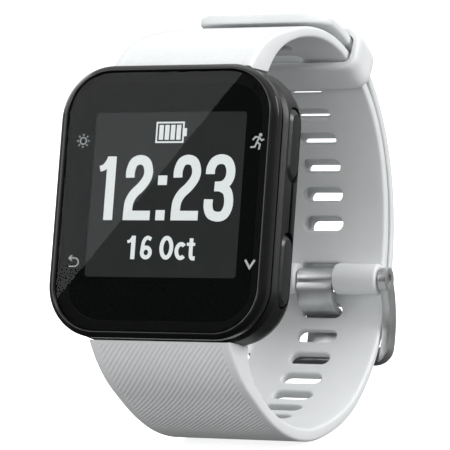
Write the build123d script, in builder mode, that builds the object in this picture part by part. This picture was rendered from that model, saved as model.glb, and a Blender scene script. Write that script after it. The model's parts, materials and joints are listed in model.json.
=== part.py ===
from build123d import *
import os
from math import cos, radians, sin

# GPS running watch with its silicone strap closed, in millimetres.
# +X points to 3 o'clock, +Z to 12 o'clock and -Y out of the display.
# The origin is the middle of the flat back cover, where the wrist touches the case.
# A "height" is a distance in front of the back cover, so it runs along -Y.

os.makedirs("parts", exist_ok=True)

# ---- driving dimensions --------------------------------------------------------------
CASE_WIDTH = 35.5
CASE_LENGTH = 40.7
CASE_CORNER = 8.2
SIDE_SECTIONS = [(1.6, 1.2), (3.0, 0.4), (4.6, 0.0), (8.2, 0.1), (9.0, 0.6)]  # height, inset
SHOULDER = 9.0              # front edge of the side wall
NECK_INSET = 1.2            # the dark groove between the side wall and the bezel
BEZEL_BASE = 9.9
BEZEL_SECTIONS = [(9.9, 0.5), (10.3, 0.2), (11.6, 0.2), (12.2, 0.8)]  # height, inset
LENS_TOP = 12.2
LENS_WIDTH = 32.4
LENS_LENGTH = 38.4
LENS_CORNER = 6.7
LENS_THICKNESS = 1.3
LENS_CHAMFER = 0.2
MASK_THICKNESS = 0.05
MASK_CORNER = 5.15
MASK_WIDTH = 29.3
MASK_LENGTH = 34.9
WINDOW = 24.4               # side of the square display window
WINDOW_Z = 1.07             # the window sits above the middle of the lens
CAVITY_WIDTH = 29.0
CAVITY_LENGTH = 34.6
CAVITY_CORNER = 5.0
SEAL_LEDGE = 10.75          # the bezel's ledge under the lens seal
FIT = 0.1                   # gap around parts that drop into a pocket

COVER_THICKNESS = 1.6
COVER_BACK_INSET = 2.3
BOSS_SPOTS = [(x, z) for x in (-11.9, 11.9) for z in (-14.6, 14.6)]
BOSS_RADIUS = 1.8
SCREW_TAP_RADIUS = 0.52
SCREW_RADIUS = 0.5
SCREW_HOLE_RADIUS = 0.6
SCREW_HEAD_RADIUS = 1.1
SCREW_SEAT_RADIUS = 1.2
SCREW_SEAT = 0.75           # height of the seat under a screw's head
SCREW_END = 5.0
SCREW_SOCKET = 0.55
SCREW_SUNK = 0.1
BOARD_LOW = 7.2
BOARD_HIGH = 8.0
BATTERY_LOW = 2.6
BATTERY_HIGH = 5.8
SENSOR_RADIUS = 5.8
SENSOR_HEIGHT = 1.1         # how far the optical sensor stands out towards the wrist

KEY_Z = 9.2                 # distance of each key from the middle of the case
KEY_HEIGHT = 5.5            # height of a key's centre line
KEY_LENGTH = 10.6
KEY_BREADTH = 4.2
KEY_FLOOR = 15.85           # distance of the recess floor from the middle of the case
KEY_TRAVEL = 0.45
STEM_RADIUS = 1.0
STEM_TIP = 13.6
STEM_BORE_START = 13.0
CLIP_GROOVE = (14.05, 14.5)  # where the clip's groove runs along a stem
CLIP_GROOVE_RADIUS = 0.75
CLIP_SPAN = (14.1, 14.45)
CLIP_RADIUS = 1.7
CLIP_MOUTH = 1.1
SEAL_SEAT_RADIUS = 1.65
SEAL_SEAT_DEPTH = 0.65
SEAL_RADIUS = 1.63
SEAL_MARGIN = 0.03
KEY_SIDE_CLEARANCE = 0.3
CHANNEL_DEPTH = 0.35        # shallow channel between the two keys of a side
CHANNEL_BREADTH = 0.7
RUNNING = 0.05              # radial clearance of everything that slides or turns

LOOP_Y = 17.2               # centre that the strap's angles and radii are measured from
LOOP_Z = 0.4
STRAP_END = CASE_LENGTH / 2 + FIT
# The strap's faces are smooth curves through these points.
# Each layer is given as loop angle, inner radius and outer radius.
UPPER_LAYER = [(-6.6, 30.15, 32.1), (8, 30.4, 32.3), (18, 30.65, 32.5), (30, 30.9, 32.7),
               (45, 30.85, 32.6), (57, 30.45, 32.15), (66, 30.2, 31.8), (75, 29.95, 31.5),
               (84, 29.65, 31.2), (92, 29.4, 30.95), (100, 29.2, 30.85)]
LOWER_LAYER = [(-108, 30.15, 32.1), (-98, 30.05, 32.05), (-88, 30.05, 32.1), (-78, 30.25, 32.25),
               (-67, 30.5, 32.45), (-58, 31.05, 32.95), (-48, 31.8, 33.6), (-37, 32.3, 33.95),
               (-25, 32.7, 34.25), (-8, 33.1, 34.65), (5, 33.3, 34.8), (18, 33.4, 34.85),
               (30, 33.35, 34.8), (45, 33.1, 34.6), (57, 32.85, 34.35), (66, 32.7, 34.15),
               (75, 32.5, 33.95), (84, 32.3, 33.75), (91.5, 32.1, 33.6)]
# The thick roots at the case are given as loop angle and radius, nearest the case last.
UPPER_ROOT_INNER = [(110, 29.15), (120, 29.2), (128, 28.9)]
UPPER_ROOT_OUTER = [(108, 30.85), (114, 31.05), (120, 31.5), (126, 32.1), (133, 32.7)]
LOWER_ROOT_INNER = [(-116, 30.2), (-125, 30.2), (-131, 29.6)]
LOWER_ROOT_OUTER = [(-115, 32.25), (-120, 32.5), (-125, 32.95), (-130, 33.4), (-136, 33.8)]
UPPER_END_HEIGHTS = (2.6, 8.9)
LOWER_END_HEIGHTS = (2.8, 9.7)
HALF_WIDTH_CASE = 11.4
HALF_WIDTH_BACK = 10.7
SLOT_LENGTH = 6.8
SLOT_WIDTH = 2.4
SLOT_CUT_RADIUS = 32.5      # the slots are cut both ways from here
VENT_STEP = 8.67            # loop angle from slot to slot in the buckle strap
HOLE_STEP = 7.9             # loop angle from slot to slot in the hole strap
TONGUE_SLOT = -14.5         # loop angle of the slot that the tongue goes through
HOLE_STEPS = range(-6, 12)  # slots of the hole strap, counted from the tongue's
FIRST_VENT = 10.8           # loop angle of the buckle strap's first slot
VENT_COUNT = 9
NOTCH_HALF = 3.3            # notch of the buckle strap that the tongue turns in
NOTCH_ABOVE_PIN = 2.7
TAIL_CORNER = 4.0
LUG_HALF = 5.0
LUG_RADIUS = 1.15
LUG_PIN_HEIGHT = 4.7
PIN_RADIUS = 0.75
STRAP_PIN_HALF = 9.8        # the strap closes over both ends of its pins
BARREL_RADIUS = 2.5
PIN_Y = 46.6                # axis of the buckle pin
PIN_Z = -3.0
FRAME_HALF = 12.4
FRAME_INNER = 11.1
FRAME_DEPTH = 2.7
TONGUE_WIDTH = 6.1
# The keeper lies on a circle that follows both layers between the buckle and the top.
WRAP_Y = 19.4
WRAP_Z = 1.5
KEEPER_ANGLES = (61.7, 74.9)
KEEPER_HALF = 12.6
KEEPER_RADII = (26.5, 34.1)
KEEPER_OPENING = (28.1, 32.65)
KEEPER_OPENING_HALF = 11.25
KEEPER_CORNER = 2.4
KEEPER_OPENING_CORNER = 0.8


# ---- shared helpers --------------------------------------------------------------------
def dial_plane(height):
    """Plane parallel to the lens, a height in front of the back cover."""
    return Plane.XZ.offset(height)


def case_outline(height, inset):
    """Outline of the case at a height, moved in from its widest size."""
    with BuildSketch(dial_plane(height)) as outline:
        RectangleRounded(CASE_WIDTH - 2 * inset, CASE_LENGTH - 2 * inset, CASE_CORNER - inset)
    return outline.sketch


def block(width, length, corner, low, high, at=(0, 0), mode=Mode.ADD):
    """Rounded block between two heights, parallel to the lens."""
    with BuildSketch(dial_plane(low)) as base:
        with Locations(at):
            RectangleRounded(width, length, corner)
    extrude(base.sketch, amount=high - low, mode=mode)


def disc(radius, low, high, spots=((0, 0),), mode=Mode.ADD):
    """Round discs between two heights, parallel to the lens."""
    with BuildSketch(dial_plane(low)) as base:
        with Locations(*spots):
            Circle(radius)
    extrude(base.sketch, amount=high - low, mode=mode)


def rod(radius, low, high, y, z, mode=Mode.ADD):
    """Round rod along X between two distances from the middle of the case."""
    with BuildSketch(Plane.YZ.offset(low)) as base:
        with Locations((y, z)):
            Circle(radius)
    extrude(base.sketch, amount=high - low, mode=mode)


def span_on_side(side, near, far):
    """Range of X between two distances from the middle, on the right (1) or left (-1)."""
    return (near, far) if side > 0 else (-far, -near)


def loop_point(radius, angle):
    """(y, z) on the strap loop. Angle 0 is opposite the case and 90 is the top."""
    return (LOOP_Y + radius * cos(radians(angle)), LOOP_Z + radius * sin(radians(angle)))


def lug_spot(side):
    """(y, z) of the strap pin at the top (side 1) or bottom (side -1) of the case."""
    return (-LUG_PIN_HEIGHT, side * (STRAP_END + LUG_RADIUS + 0.75))


def lug_shape(side, grow):
    """Round-nosed lug section, from inside the case wall to round the strap pin."""
    y, z = lug_spot(side)
    root = side * (CASE_LENGTH / 2 - 1.2)
    with BuildSketch(Plane.YZ.offset(-LUG_HALF - grow)) as section:
        with Locations((y, z)):
            Circle(LUG_RADIUS + grow)
        with Locations((y, (root + z) / 2)):
            Rectangle(2 * (LUG_RADIUS + grow), abs(z - root))
    return section.sketch


def finish_part(builder, name):
    """Label a finished piece and write it to its own file."""
    builder.part.label = name
    export_step(builder.part, f"parts/{name}.step")


# ---- case ------------------------------------------------------------------------------
with BuildPart() as case_housing:
    loft([case_outline(height, inset) for height, inset in SIDE_SECTIONS], ruled=True)
    extrude(case_outline(SHOULDER, NECK_INSET), amount=BEZEL_BASE - SHOULDER)
    for side in (-1, 1):
        extrude(lug_shape(side, 0), amount=2 * LUG_HALF)
    block(CAVITY_WIDTH, CAVITY_LENGTH, CAVITY_CORNER, 0, BEZEL_BASE, mode=Mode.SUBTRACT)
    disc(BOSS_RADIUS, COVER_THICKNESS, BOARD_LOW, BOSS_SPOTS)
    disc(SCREW_TAP_RADIUS, COVER_THICKNESS, SCREW_END + 0.2, BOSS_SPOTS, mode=Mode.SUBTRACT)
    for side in (-1, 1):
        rod(PIN_RADIUS + RUNNING, -LUG_HALF, LUG_HALF, *lug_spot(side), mode=Mode.SUBTRACT)
    # Each long side has two round-ended key recesses, a stem bore with a seat for its
    # seal, and a shallow channel between the keys.
    for side in (-1, 1):
        outward = Plane.YZ if side > 0 else -Plane.YZ
        with BuildSketch(outward.offset(KEY_FLOOR)):
            with Locations(*[(-KEY_HEIGHT, z) for z in (-KEY_Z, KEY_Z)]):
                SlotOverall(KEY_LENGTH + 2 * KEY_SIDE_CLEARANCE, KEY_BREADTH + KEY_SIDE_CLEARANCE,
                            rotation=90)
        extrude(amount=CASE_WIDTH / 2 - KEY_FLOOR + 1, mode=Mode.SUBTRACT)
        with BuildSketch(outward.offset(CASE_WIDTH / 2 - CHANNEL_DEPTH)):
            with Locations((-KEY_HEIGHT, 0)):
                Rectangle(CHANNEL_BREADTH, 2 * KEY_Z - KEY_LENGTH)
        extrude(amount=1, mode=Mode.SUBTRACT)
        for z in (-KEY_Z, KEY_Z):
            bore = span_on_side(side, STEM_BORE_START, KEY_FLOOR)
            seat = span_on_side(side, KEY_FLOOR - SEAL_SEAT_DEPTH, KEY_FLOOR)
            rod(STEM_RADIUS + RUNNING, *bore, -KEY_HEIGHT, z, mode=Mode.SUBTRACT)
            rod(SEAL_SEAT_RADIUS, *seat, -KEY_HEIGHT, z, mode=Mode.SUBTRACT)
finish_part(case_housing, "case_housing")

with BuildPart() as bezel_ring:
    loft([case_outline(height, inset) for height, inset in BEZEL_SECTIONS], ruled=True)
    block(CAVITY_WIDTH, CAVITY_LENGTH, CAVITY_CORNER, BEZEL_BASE, SEAL_LEDGE, mode=Mode.SUBTRACT)
    block(LENS_WIDTH + FIT, LENS_LENGTH + FIT, LENS_CORNER + FIT / 2, SEAL_LEDGE, LENS_TOP,
          mode=Mode.SUBTRACT)
finish_part(bezel_ring, "bezel_ring")

with BuildPart() as lens:
    block(LENS_WIDTH, LENS_LENGTH, LENS_CORNER, LENS_TOP - LENS_THICKNESS, LENS_TOP)
    chamfer(lens.faces().sort_by(Axis.Y)[0].edges(), length=LENS_CHAMFER)
finish_part(lens, "lens")

with BuildPart() as lens_gasket:
    block(LENS_WIDTH, LENS_LENGTH, LENS_CORNER, SEAL_LEDGE, LENS_TOP - LENS_THICKNESS)
    block(MASK_WIDTH + FIT, MASK_LENGTH + FIT, MASK_CORNER + FIT / 2, SEAL_LEDGE,
          LENS_TOP - LENS_THICKNESS, mode=Mode.SUBTRACT)
finish_part(lens_gasket, "lens_gasket")

with BuildPart() as lens_mask:
    mask_span = (LENS_TOP - LENS_THICKNESS - MASK_THICKNESS, LENS_TOP - LENS_THICKNESS)
    block(MASK_WIDTH, MASK_LENGTH, MASK_CORNER, *mask_span)
    block(WINDOW, WINDOW, 0.5, *mask_span, at=(0, WINDOW_Z), mode=Mode.SUBTRACT)
finish_part(lens_mask, "lens_mask")

# ---- display stack ---------------------------------------------------------------------
GLASS_WIDTH = 27.4
GLASS_LENGTH = 28.2
GLASS_Z = 0.5
GLASS_LOW = 9.2
GLASS_HIGH = 10.8
GUIDE_LOW = 8.6
CARRIER_TOP = 10.7
CARRIER_WINDOW = 24.0
GPS_POCKET = (18.4, 2.0)    # width and length, with the pocket's place in Z below
GPS_Z = 16.0
GPS_TOP = 9.1
BLUETOOTH_TOP = 9.0
LOW_POCKET = (18.4, 3.6)    # clears the display's flex and the bluetooth antenna
LOW_POCKET_Z = -15.2
LOW_POCKET_TOP = 9.7

with BuildPart() as lcd_panel:
    block(GLASS_WIDTH, GLASS_LENGTH, 0.4, GLASS_LOW, GLASS_HIGH, at=(0, GLASS_Z))
finish_part(lcd_panel, "lcd_panel")

with BuildPart() as backlight_guide:
    block(GLASS_WIDTH, GLASS_LENGTH, 0.4, GUIDE_LOW, GLASS_LOW, at=(0, GLASS_Z))
finish_part(backlight_guide, "backlight_guide")

with BuildPart() as display_carrier:
    block(CAVITY_WIDTH - 2 * FIT, CAVITY_LENGTH - 2 * FIT, CAVITY_CORNER - FIT, BOARD_HIGH, CARRIER_TOP)
    block(GLASS_WIDTH + 2 * FIT, GLASS_LENGTH + 2 * FIT, 0.5, GUIDE_LOW, CARRIER_TOP,
          at=(0, GLASS_Z), mode=Mode.SUBTRACT)
    block(CARRIER_WINDOW, CARRIER_WINDOW, 1, BOARD_HIGH, GUIDE_LOW, at=(0, GLASS_Z),
          mode=Mode.SUBTRACT)
    block(*GPS_POCKET, 0.2, BOARD_HIGH, GPS_TOP + FIT, at=(0, GPS_Z), mode=Mode.SUBTRACT)
    block(*LOW_POCKET, 0.2, BOARD_HIGH, LOW_POCKET_TOP, at=(0, LOW_POCKET_Z), mode=Mode.SUBTRACT)
finish_part(display_carrier, "display_carrier")

with BuildPart() as display_flex:
    with BuildSketch(Plane.YZ.offset(0.5)):
        with BuildLine():
            Polyline((-9.35, -13.6), (-9.35, -15.25), (-8.15, -15.25), (-8.15, -16.6),
                     (-8.0, -16.6), (-8.0, -15.1), (-9.2, -15.1), (-9.2, -13.6), close=True)
        make_face()
    extrude(amount=8)
finish_part(display_flex, "display_flex")

# ---- electronics -----------------------------------------------------------------------
with BuildPart() as main_board:
    block(CAVITY_WIDTH - 0.4, CAVITY_LENGTH - 0.4, CAVITY_CORNER - 0.2, BOARD_LOW, BOARD_HIGH)
finish_part(main_board, "main_board")

# Chips as width, length, thickness and place.
CHIPS = [(7.0, 7.0, 1.0, (-2.5, 3.0)), (5.0, 5.0, 1.0, (5.5, -4.0)), (4.0, 6.0, 0.9, (-6.5, -6.0)),
         (3.2, 2.5, 0.8, (1.0, -9.0))]

with BuildPart() as board_chips:
    for width, length, thickness, spot in CHIPS:
        block(width, length, 0.2, BOARD_LOW - thickness, BOARD_LOW, at=spot)
finish_part(board_chips, "board_chips")

with BuildPart() as shield_can:
    can_wall = 0.2
    can_spot = (3.0, 13.6)
    block(10.0, 4.6, 0.5, BOARD_LOW - 1.4, BOARD_LOW, at=can_spot)
    block(10.0 - 2 * can_wall, 4.6 - 2 * can_wall, 0.3, BOARD_LOW - 1.4 + can_wall, BOARD_LOW,
          at=can_spot, mode=Mode.SUBTRACT)
finish_part(shield_can, "shield_can")

BATTERY_Z = -1.0
PAD_LOW = 2.35

with BuildPart() as battery:
    block(22.4, 21.0, 1.2, BATTERY_LOW, BATTERY_HIGH, at=(0, BATTERY_Z))
    fillet(battery.faces().filter_by(Axis.Y).edges(), radius=0.5)
finish_part(battery, "battery")

with BuildPart() as battery_pad:
    block(20.0, 18.0, 0.5, PAD_LOW, BATTERY_LOW, at=(0, BATTERY_Z))
finish_part(battery_pad, "battery_pad")

WIRE_RADIUS = 0.4
WIRE_HEIGHT = (BATTERY_LOW + BATTERY_HIGH) / 2
WIRE_START_Z = 9.5
WIRE_TURN_Z = 10.8

with BuildPart() as battery_lead:
    for wire_x in (8.6, 9.7):
        with BuildLine(Plane.YZ.offset(wire_x)) as route:
            FilletPolyline((-WIRE_HEIGHT, WIRE_START_Z), (-WIRE_HEIGHT, WIRE_TURN_Z),
                           (-BOARD_LOW, WIRE_TURN_Z), radius=0.7)
        with BuildSketch(Plane((wire_x, -WIRE_HEIGHT, WIRE_START_Z), z_dir=(0, 0, 1))):
            Circle(WIRE_RADIUS)
        sweep(path=route.wires()[0])
finish_part(battery_lead, "battery_lead")

MOTOR_TOP = 4.4
SOUNDER_SPOTS = [(5.0, 13.0)]
SOUNDER_PLATE = 0.25

with BuildPart() as vibration_motor:
    disc(3.5, COVER_THICKNESS, MOTOR_TOP, [(-5.5, 13.2)])
    fillet(vibration_motor.faces().sort_by(Axis.Y)[0].edges(), radius=0.4)
finish_part(vibration_motor, "vibration_motor")

with BuildPart() as piezo_sounder:
    plate_top = COVER_THICKNESS + SOUNDER_PLATE
    disc(4.0, COVER_THICKNESS, plate_top, SOUNDER_SPOTS)
    disc(2.8, plate_top, plate_top + 0.35, SOUNDER_SPOTS)
finish_part(piezo_sounder, "piezo_sounder")

with BuildPart() as gps_antenna:
    block(18.0, 1.6, 0.2, BOARD_HIGH, GPS_TOP, at=(0, GPS_Z))
finish_part(gps_antenna, "gps_antenna")

with BuildPart() as bluetooth_antenna:
    block(7.0, 2.2, 0.2, BOARD_HIGH, BLUETOOTH_TOP, at=(-4.5, -15.6))
finish_part(bluetooth_antenna, "bluetooth_antenna")

FLEX_INNER = 12.3
FLEX_OUTER = 12.5
FLEX_FRONT = 3.9            # lowest height of the switch flexes
FLEX_LENGTH = 24
SWITCH_BASE = 0.3
SWITCH_OUTER = STEM_TIP - KEY_TRAVEL
for side, name in ((-1, "switch_flex_left"), (1, "switch_flex_right")):
    with BuildPart() as switch_flex:
        with Locations((side * (FLEX_INNER + FLEX_OUTER) / 2, -(FLEX_FRONT + BOARD_LOW) / 2, 0)):
            Box(FLEX_OUTER - FLEX_INNER, BOARD_LOW - FLEX_FRONT, FLEX_LENGTH)
    finish_part(switch_flex, name)

with BuildPart() as dome_switches:
    for side in (-1, 1):
        base_x = side * (FLEX_OUTER + SWITCH_BASE / 2)
        with Locations(*[(base_x, -KEY_HEIGHT, z) for z in (-KEY_Z, KEY_Z)]):
            Box(SWITCH_BASE, 3.0, 4.0)
        for z in (-KEY_Z, KEY_Z):
            rod(1.1, *span_on_side(side, FLEX_OUTER + SWITCH_BASE, SWITCH_OUTER), -KEY_HEIGHT, z)
finish_part(dome_switches, "dome_switches")

# ---- back cover and sensor -------------------------------------------------------------
SEAL_GROOVE = 0.6
SENSOR_STEP = 0.8
BUMP_RADIUS = 9.0           # foot of the raised ring round the sensor
BUMP_RISE = 0.75
SEAL_INSETS = (1.75, 2.65)  # outer and inner edge of the back cover's seal
CONTACT_RADIUS = 0.8
PARTS_FRONT = 0.9           # the sensor's parts stand between here and their board
CONTACT_SPOTS = [(x, -13.6) for x in (-3.6, -1.2, 1.2, 3.6)]

with BuildPart() as back_cover:
    loft([case_outline(0, COVER_BACK_INSET), case_outline(COVER_THICKNESS, 1.2)], ruled=True)
    with BuildSketch(dial_plane(0)) as bump_root:
        Circle(BUMP_RADIUS)
    extrude(bump_root.sketch, amount=-BUMP_RISE, taper=35)
    disc(SENSOR_RADIUS, -SENSOR_HEIGHT, COVER_THICKNESS, mode=Mode.SUBTRACT)
    extrude(case_outline(COVER_THICKNESS - SEAL_GROOVE, SEAL_INSETS[0]), amount=SEAL_GROOVE,
            mode=Mode.SUBTRACT)
    extrude(case_outline(COVER_THICKNESS - SEAL_GROOVE, SEAL_INSETS[1]), amount=SEAL_GROOVE)
    disc(SENSOR_RADIUS, 0, COVER_THICKNESS, mode=Mode.SUBTRACT)
    disc(SCREW_HOLE_RADIUS, 0, COVER_THICKNESS, BOSS_SPOTS, mode=Mode.SUBTRACT)
    disc(SCREW_SEAT_RADIUS, 0, SCREW_SEAT, BOSS_SPOTS, mode=Mode.SUBTRACT)
    disc(CONTACT_RADIUS, 0, COVER_THICKNESS, CONTACT_SPOTS, mode=Mode.SUBTRACT)
finish_part(back_cover, "back_cover")

with BuildPart() as back_cover_gasket:
    extrude(case_outline(COVER_THICKNESS - SEAL_GROOVE, SEAL_INSETS[0]), amount=SEAL_GROOVE)
    extrude(case_outline(COVER_THICKNESS - SEAL_GROOVE, SEAL_INSETS[1]), amount=SEAL_GROOVE,
            mode=Mode.SUBTRACT)
finish_part(back_cover_gasket, "back_cover_gasket")

with BuildPart() as back_cover_screws:
    disc(SCREW_HEAD_RADIUS, SCREW_SUNK, SCREW_SEAT, BOSS_SPOTS)
    disc(SCREW_RADIUS, SCREW_SEAT, SCREW_END, BOSS_SPOTS)
    with BuildSketch(dial_plane(SCREW_SUNK)):
        with Locations(*BOSS_SPOTS):
            RegularPolygon(SCREW_SOCKET, 6)
    extrude(amount=0.4, mode=Mode.SUBTRACT)
finish_part(back_cover_screws, "back_cover_screws")

with BuildPart() as sensor_window:
    disc(SENSOR_RADIUS, -SENSOR_HEIGHT, SENSOR_STEP)
    fillet(sensor_window.faces().sort_by(Axis.Y)[-1].edges(), radius=0.3)
finish_part(sensor_window, "sensor_window")

with BuildPart() as sensor_board:
    disc(7.2, COVER_THICKNESS, 2.2)
finish_part(sensor_board, "sensor_board")

with BuildPart() as sensor_leds:
    for led_x in (-3.4, 3.4):
        block(1.6, 1.6, 0.1, PARTS_FRONT, COVER_THICKNESS, at=(led_x, 0))
finish_part(sensor_leds, "sensor_leds")

with BuildPart() as photodiode:
    block(2.6, 2.6, 0.1, PARTS_FRONT, COVER_THICKNESS)
finish_part(photodiode, "photodiode")

with BuildPart() as light_barrier:
    for wall_x in (-1.95, 1.95):
        block(0.5, 8.0, 0.1, 0.85, COVER_THICKNESS, at=(wall_x, 0))
finish_part(light_barrier, "light_barrier")

with BuildPart() as charging_contacts:
    disc(CONTACT_RADIUS, 0, 2.0, CONTACT_SPOTS)
finish_part(charging_contacts, "charging_contacts")


# ---- keys ------------------------------------------------------------------------------
def key_shape(side, z):
    """One bar key with its stem, on the right (side 1) or left (side -1) of the case."""
    outward = Plane.YZ if side > 0 else -Plane.YZ
    with BuildPart() as key:
        with BuildSketch(outward.offset(KEY_FLOOR + KEY_TRAVEL)):
            with Locations((-KEY_HEIGHT, side * z)):
                SlotOverall(KEY_LENGTH, KEY_BREADTH, rotation=90)
        extrude(amount=CASE_WIDTH / 2 - KEY_FLOOR - KEY_TRAVEL)
        top = key.faces().sort_by(Axis.X)[-1 if side > 0 else 0]
        chamfer(top.edges(), length=0.55, length2=0.75)
        groove_start, groove_end = CLIP_GROOVE
        stem = [(STEM_TIP, groove_start, STEM_RADIUS), (groove_start, groove_end, CLIP_GROOVE_RADIUS),
                (groove_end, KEY_FLOOR + KEY_TRAVEL, STEM_RADIUS)]
        for low, high, radius in stem:
            rod(radius, *span_on_side(side, low, high), -KEY_HEIGHT, z)
    return key


def clip_shape(side, z):
    """Spring clip that keeps a key's stem in the case."""
    ends = span_on_side(side, *CLIP_SPAN)
    with BuildPart() as clip:
        rod(CLIP_RADIUS, *ends, -KEY_HEIGHT, z)
        rod(CLIP_GROOVE_RADIUS + 0.02, *ends, -KEY_HEIGHT, z, mode=Mode.SUBTRACT)
        with Locations(((ends[0] + ends[1]) / 2, -KEY_HEIGHT - 1.2, z)):
            Box(1, 2.4, CLIP_MOUTH, mode=Mode.SUBTRACT)
    return clip


KEYS = {"light": (-1, KEY_Z), "back": (-1, -KEY_Z), "run": (1, KEY_Z), "down": (1, -KEY_Z)}
for name, (side, z) in KEYS.items():
    finish_part(key_shape(side, z), f"button_{name}")
    finish_part(clip_shape(side, z), f"button_clip_{name}")

with BuildPart() as button_seals:
    for side, z in KEYS.values():
        ends = span_on_side(side, KEY_FLOOR - SEAL_SEAT_DEPTH + SEAL_MARGIN, KEY_FLOOR - SEAL_MARGIN)
        rod(SEAL_RADIUS, *ends, -KEY_HEIGHT, z)
        rod(STEM_RADIUS + SEAL_MARGIN, *ends, -KEY_HEIGHT, z, mode=Mode.SUBTRACT)
finish_part(button_seals, "button_seals")


# ---- strap -----------------------------------------------------------------------------
def taper_to_width():
    """Keep what lies inside the strap's plan, which narrows from the case to the buckle."""
    with BuildSketch(Plane.XY.offset(-60)) as plan:
        with BuildLine():
            Polyline((-HALF_WIDTH_CASE, -12), (HALF_WIDTH_CASE, -12), (HALF_WIDTH_BACK, 55),
                     (-HALF_WIDTH_BACK, 55), close=True)
        make_face()
    extrude(plan.sketch, amount=120, mode=Mode.INTERSECT)


def cut_slots(angles):
    """Cut a round-ended slot through the layer at each loop angle."""
    for angle in angles:
        y, z = loop_point(SLOT_CUT_RADIUS, angle)
        radial = Plane((0, y, z), x_dir=(1, 0, 0), z_dir=(0, cos(radians(angle)), sin(radians(angle))))
        with BuildSketch(radial) as slot:
            SlotOverall(SLOT_LENGTH, SLOT_WIDTH)
        extrude(slot.sketch, amount=4, both=True, mode=Mode.SUBTRACT)


def cut_case_end(side):
    """Cut the lug pocket and the closed pin bore in a strap's case end."""
    extrude(lug_shape(side, FIT), amount=2 * (LUG_HALF + FIT), mode=Mode.SUBTRACT)
    rod(PIN_RADIUS, -STRAP_PIN_HALF, STRAP_PIN_HALF, *lug_spot(side), mode=Mode.SUBTRACT)


def strap_faces(layer, root_inner, root_outer, side, end_heights):
    """Both faces of a strap, its end face at the case and its free end."""
    inner_end, outer_end = [(-height, side * STRAP_END) for height in end_heights]
    inner = [loop_point(radius, angle) for angle, radius, _ in layer]
    outer = [loop_point(radius, angle) for angle, _, radius in layer]
    if side < 0:
        inner.reverse()
        outer.reverse()
    inner += [loop_point(radius, angle) for angle, radius in root_inner]
    outer += [loop_point(radius, angle) for angle, radius in root_outer]
    Spline(*inner, inner_end)
    Line(inner_end, outer_end)
    Spline(*outer, outer_end)
    Line(inner[0], outer[0])


with BuildPart() as strap_upper:
    with BuildSketch(Plane.YZ.offset(-HALF_WIDTH_CASE)):
        with BuildLine():
            strap_faces(UPPER_LAYER, UPPER_ROOT_INNER, UPPER_ROOT_OUTER, 1, UPPER_END_HEIGHTS)
        make_face()
        with Locations((PIN_Y, PIN_Z)):
            Circle(BARREL_RADIUS)
    extrude(amount=2 * HALF_WIDTH_CASE)
    taper_to_width()
    cut_slots([FIRST_VENT + VENT_STEP * step for step in range(VENT_COUNT)])
    cut_case_end(1)
    rod(PIN_RADIUS + 0.02, -12, 12, PIN_Y, PIN_Z, mode=Mode.SUBTRACT)
    with Locations((0, PIN_Y, PIN_Z + NOTCH_ABOVE_PIN - 5)):
        Box(2 * NOTCH_HALF, 10, 10, mode=Mode.SUBTRACT)
finish_part(strap_upper, "strap_upper")

with BuildPart() as strap_lower:
    with BuildSketch(Plane.YZ.offset(-HALF_WIDTH_CASE)):
        with BuildLine():
            strap_faces(LOWER_LAYER, LOWER_ROOT_INNER, LOWER_ROOT_OUTER, -1, LOWER_END_HEIGHTS)
        make_face()
    extrude(amount=2 * HALF_WIDTH_CASE)
    taper_to_width()
    tip = strap_lower.edges().filter_by(lambda edge: edge.center().Z > 30 and edge.length < 2)
    fillet(tip, radius=TAIL_CORNER)
    cut_slots([TONGUE_SLOT + HOLE_STEP * step for step in HOLE_STEPS])
    cut_case_end(-1)
finish_part(strap_lower, "strap_lower")

for side, name in ((1, "strap_pin_upper"), (-1, "strap_pin_lower")):
    with BuildPart() as strap_pin:
        rod(PIN_RADIUS, -STRAP_PIN_HALF, STRAP_PIN_HALF, *lug_spot(side))
        chamfer(strap_pin.edges().filter_by(GeomType.CIRCLE), length=0.2)
    finish_part(strap_pin, name)

# ---- buckle ----------------------------------------------------------------------------
with BuildPart() as buckle_pin:
    rod(PIN_RADIUS, -FRAME_HALF + 0.15, FRAME_HALF - 0.15, PIN_Y, PIN_Z)
finish_part(buckle_pin, "buckle_pin")

FRAME_EYE = 1.9             # radius round the pin
FRAME_PLATE = (-6.7, 20)    # middle and length along Z of the frame's outline
FRAME_WINDOW = (-4, 20)
FRAME_BELLY = (49.3, -10.0)
FRAME_TIP = (48.75, -15.3)
PASSAGE_RADIUS = 34.6       # the hole strap passes inside the frame's end bar

with BuildPart() as buckle_frame:
    with BuildSketch(Plane.YZ.offset(-FRAME_HALF)) as side_view:
        with BuildLine() as spine:
            ThreePointArc((PIN_Y, PIN_Z), FRAME_BELLY, FRAME_TIP)
        SlotArc(spine.edges()[0], FRAME_DEPTH)
        with Locations((PIN_Y, PIN_Z)):
            Circle(FRAME_EYE)
    extrude(amount=2 * FRAME_HALF)
    # Seen from behind, the frame is a plate with round outer corners and a deep window.
    behind = Plane.XZ.offset(-60)
    with BuildSketch(behind):
        with Locations((0, FRAME_PLATE[0])):
            RectangleRounded(2 * FRAME_HALF, FRAME_PLATE[1], 3)
    extrude(amount=20, mode=Mode.INTERSECT)
    with BuildSketch(behind):
        with Locations((0, FRAME_WINDOW[0])):
            RectangleRounded(2 * FRAME_INNER, FRAME_WINDOW[1], 1.6)
    extrude(amount=20, mode=Mode.SUBTRACT)
    rod(PASSAGE_RADIUS, -FRAME_INNER, FRAME_INNER, LOOP_Y, LOOP_Z, mode=Mode.SUBTRACT)
    rod(PIN_RADIUS + RUNNING, -13, 13, PIN_Y, PIN_Z, mode=Mode.SUBTRACT)
finish_part(buckle_frame, "buckle_frame")

TONGUE_THICKNESS = 1.0
TONGUE_BARREL = 1.7
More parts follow.
